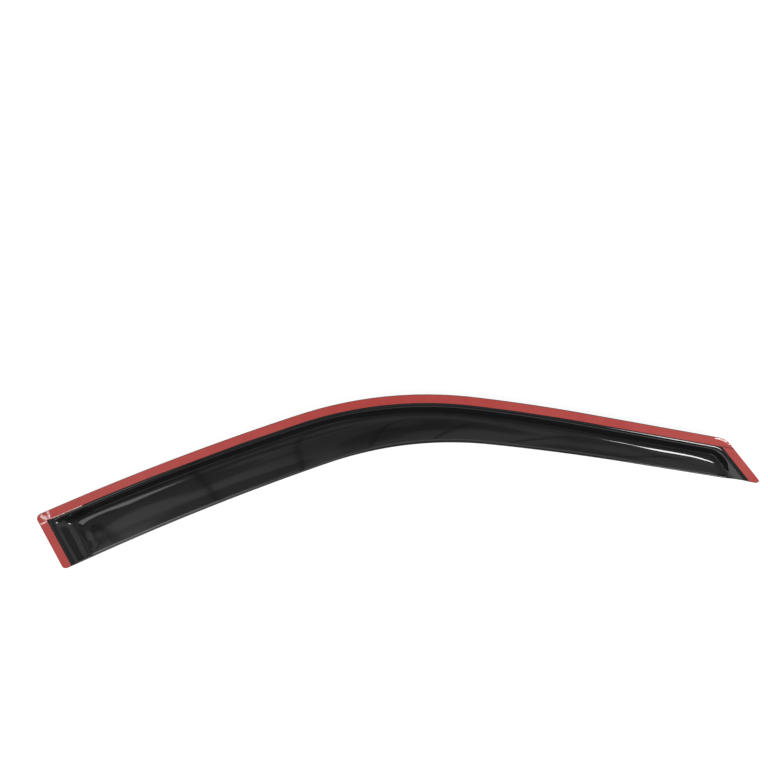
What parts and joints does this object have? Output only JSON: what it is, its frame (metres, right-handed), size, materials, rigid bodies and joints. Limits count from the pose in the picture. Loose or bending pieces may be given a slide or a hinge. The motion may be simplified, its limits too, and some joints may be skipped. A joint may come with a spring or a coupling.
{
  "type": "window rain deflector",
  "caption": "Smoked tape-on rain deflector for a left front door window, with a moulded visor and foam tape under a red liner on its land.",
  "frame": {"origin": "middle of the part's box, on the surface that the visor's outer face lies on", "axes": "+X to the front of the car, +Y to the roof, +Z to the door frame that the tape sticks to"},
  "size_m": [0.8812, 0.161, 0.0228],
  "materials": {
    "smoked_acrylic": "gloss",
    "foam_tape": "matt",
    "red_liner": "satin"
  },
  "bodies": {
    "root": {"visor": "smoked_acrylic", "tape_top": "foam_tape", "tape_rear_end": "foam_tape", "tape_front_end": "foam_tape", "liner_top": "red_liner", "liner_rear_end": "red_liner", "liner_front_end": "red_liner"}
  },
  "joints": []
}
